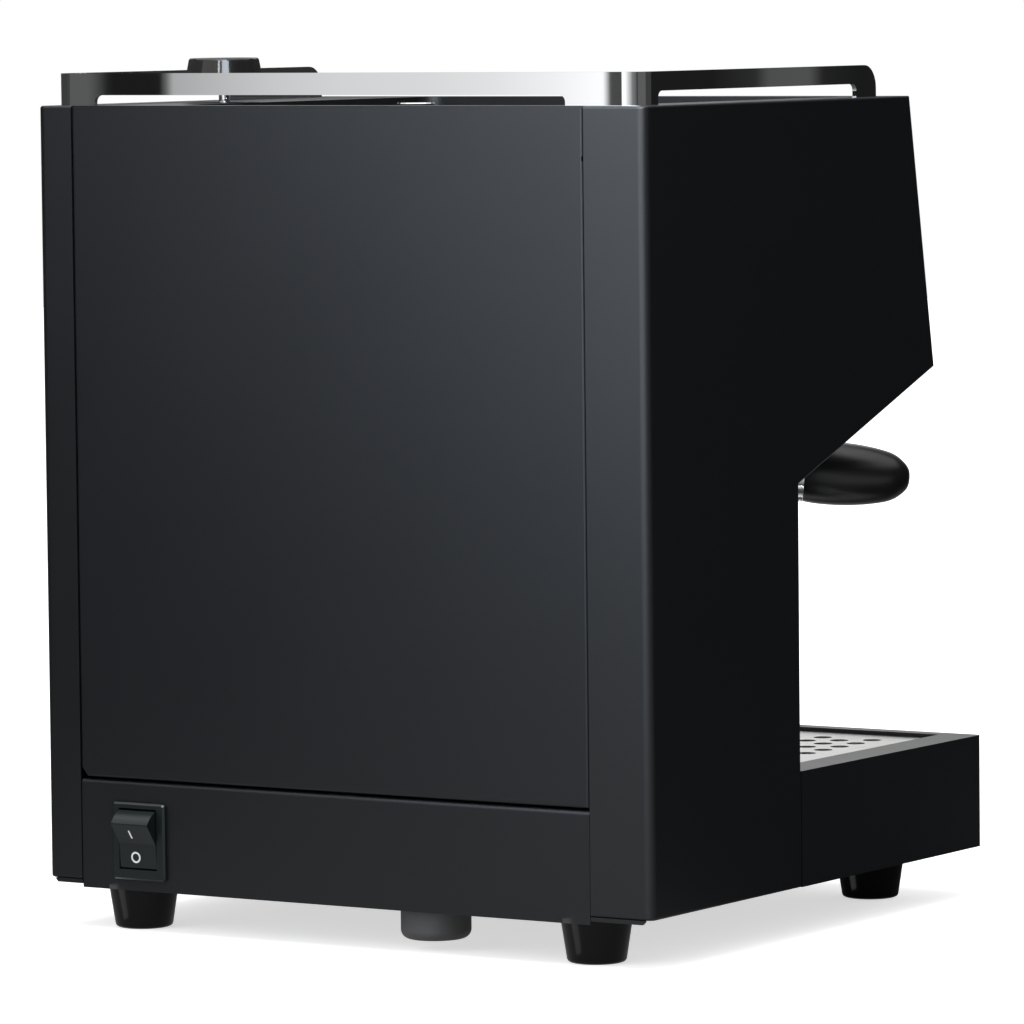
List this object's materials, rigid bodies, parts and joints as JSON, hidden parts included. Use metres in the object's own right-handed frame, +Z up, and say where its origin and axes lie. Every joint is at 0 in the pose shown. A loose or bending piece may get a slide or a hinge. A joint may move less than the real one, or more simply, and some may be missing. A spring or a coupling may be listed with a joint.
{
  "type": "espresso machine",
  "caption": "Boxy pump espresso machine with a bright cup rail, angled portafilter, steam wand, gauge, drip tray with perforated grille, and rear rocker switch.",
  "frame": {"origin": "on the table, under the middle of the machine's outline", "axes": "+Z up, +Y towards the back of the machine, +X towards the user's right as the user faces the machine"},
  "size_m": [0.312, 0.2956, 0.3811],
  "materials": {
    "black_coat": "satin black powder coat",
    "stainless": "brushed stainless",
    "chrome": "mirror polished",
    "black_plastic": "glossy black moulding",
    "grey_plastic": "matt dark grey moulding",
    "brass": "plain",
    "copper_pipe": "drawn copper tube",
    "steel_fitting": "plain",
    "hose": "translucent hose",
    "rubber": "matt rubber",
    "tank_plastic": "clear plastic",
    "gauge_glass": "clear lens",
    "dial": "white dial",
    "needle": "red needle",
    "lamp": "amber lens"
  },
  "bodies": {
    "chassis": {"side_panel_left": "black_coat", "side_panel_right": "black_coat", "base_pan": "black_coat", "rear_panel": "black_coat", "front_fascia": "black_coat", "underside_panel": "black_coat", "splash_panel": "stainless", "top_tray": "black_coat", "cup_rail": "chrome", "inner_frame": "stainless", "tank_valve_seat": "grey_plastic", "foot_screws": "stainless", "cord_gland": "grey_plastic", "switch_bezel": "black_plastic", "drip_tray_box": "black_coat", "group_head": "chrome", "group_gasket": "rubber", "shower_screen": "stainless", "shower_screw": "stainless", "steam_valve": "brass", "steam_pipes": "copper_pipe", "wand_nut": "chrome", "button_bezels": "chrome", "indicator_lamps": "lamp", "gauge_case": "chrome", "gauge_dial": "dial", "gauge_lens": "gauge_glass", "boiler": "brass", "boiler_bolts": "stainless", "heating_element": "steel_fitting", "thermostats": "steel_fitting", "pump": "grey_plastic", "pump_mounts": "rubber", "solenoid_valve": "grey_plastic", "water_lines": "hose", "foot_back_left": "black_plastic", "foot_back_right": "black_plastic", "foot_front_left": "black_plastic", "foot_front_right": "black_plastic"},
    "rocker": {"power_rocker": "black_plastic"},
    "portafilter": {"portafilter_body": "chrome", "filter_basket": "stainless", "portafilter_spout": "chrome", "handle_front_grip": "black_plastic", "handle_ring": "chrome", "handle_grip": "black_plastic"},
    "steam_control": {"steam_knob": "black_plastic", "steam_spindle": "chrome"},
    "wand": {"steam_wand": "chrome", "wand_sleeve": "rubber", "steam_tip": "chrome"},
    "brew_key": {"brew_button": "black_plastic"},
    "steam_key": {"steam_button": "black_plastic"},
    "water_key": {"water_button": "black_plastic"},
    "needle": {"gauge_needle": "needle"},
    "tank": {"water_tank": "tank_plastic"},
    "lid": {"tank_lid": "black_coat", "tank_lid_knob": "chrome"},
    "tray": {"drip_tray": "stainless"},
    "grille": {"drip_grille": "stainless"}
  },
  "joints": [
    {"name": "power_rocker_tilt", "type": "hinge", "parent": "chassis", "child": "rocker", "pos_m": [0.106, 0.13615, 0.0412], "axis": [1, 0, 0], "range_deg": [0, 40]},
    {"name": "portafilter_turn", "type": "hinge", "parent": "chassis", "child": "portafilter", "pos_m": [0, -0.05585, 0.2055], "axis": [0, 0, 1], "range_deg": [-15, 57.5]},
    {"name": "steam_knob_turn", "type": "hinge", "parent": "chassis", "child": "steam_control", "pos_m": [0.1157, 0.05315, 0.3615], "axis": [0, 0, 1], "range_deg": [0, 270]},
    {"name": "wand_swing", "type": "hinge", "parent": "chassis", "child": "wand", "pos_m": [0.118, -0.06585, 0.2115], "axis": [0, 0, 1], "range_deg": [-90, 60]},
    {"name": "brew_button_press", "type": "slide", "parent": "chassis", "child": "brew_key", "axis": [0, 0.985, -0.1723], "range_m": [0, 0.003], "stiffness_N_per_m": 400},
    {"name": "steam_button_press", "type": "slide", "parent": "chassis", "child": "steam_key", "axis": [0, 0.985, -0.1723], "range_m": [0, 0.003], "stiffness_N_per_m": 400},
    {"name": "water_button_press", "type": "slide", "parent": "chassis", "child": "water_key", "axis": [0, 0.985, -0.1723], "range_m": [0, 0.003], "stiffness_N_per_m": 400},
    {"name": "needle_turn", "type": "hinge", "parent": "chassis", "child": "needle", "pos_m": [-0.095, -0.09384, 0.30488], "axis": [0, 0.985, -0.1723], "range_deg": [0, 270]},
    {"name": "tank_lift", "type": "slide", "parent": "chassis", "child": "tank", "axis": [0, 0, 1], "range_m": [0, 0.2]},
    {"name": "lid_lift", "type": "slide", "parent": "tank", "child": "lid", "axis": [0, 0, 1], "range_m": [0, 0.04]},
    {"name": "tray_lift", "type": "slide", "parent": "chassis", "child": "tray", "axis": [0, 0, 1], "range_m": [0, 0.025]},
    {"name": "grille_lift", "type": "slide", "parent": "tray", "child": "grille", "axis": [0, 0, 1], "range_m": [0, 0.02]}
  ]
}
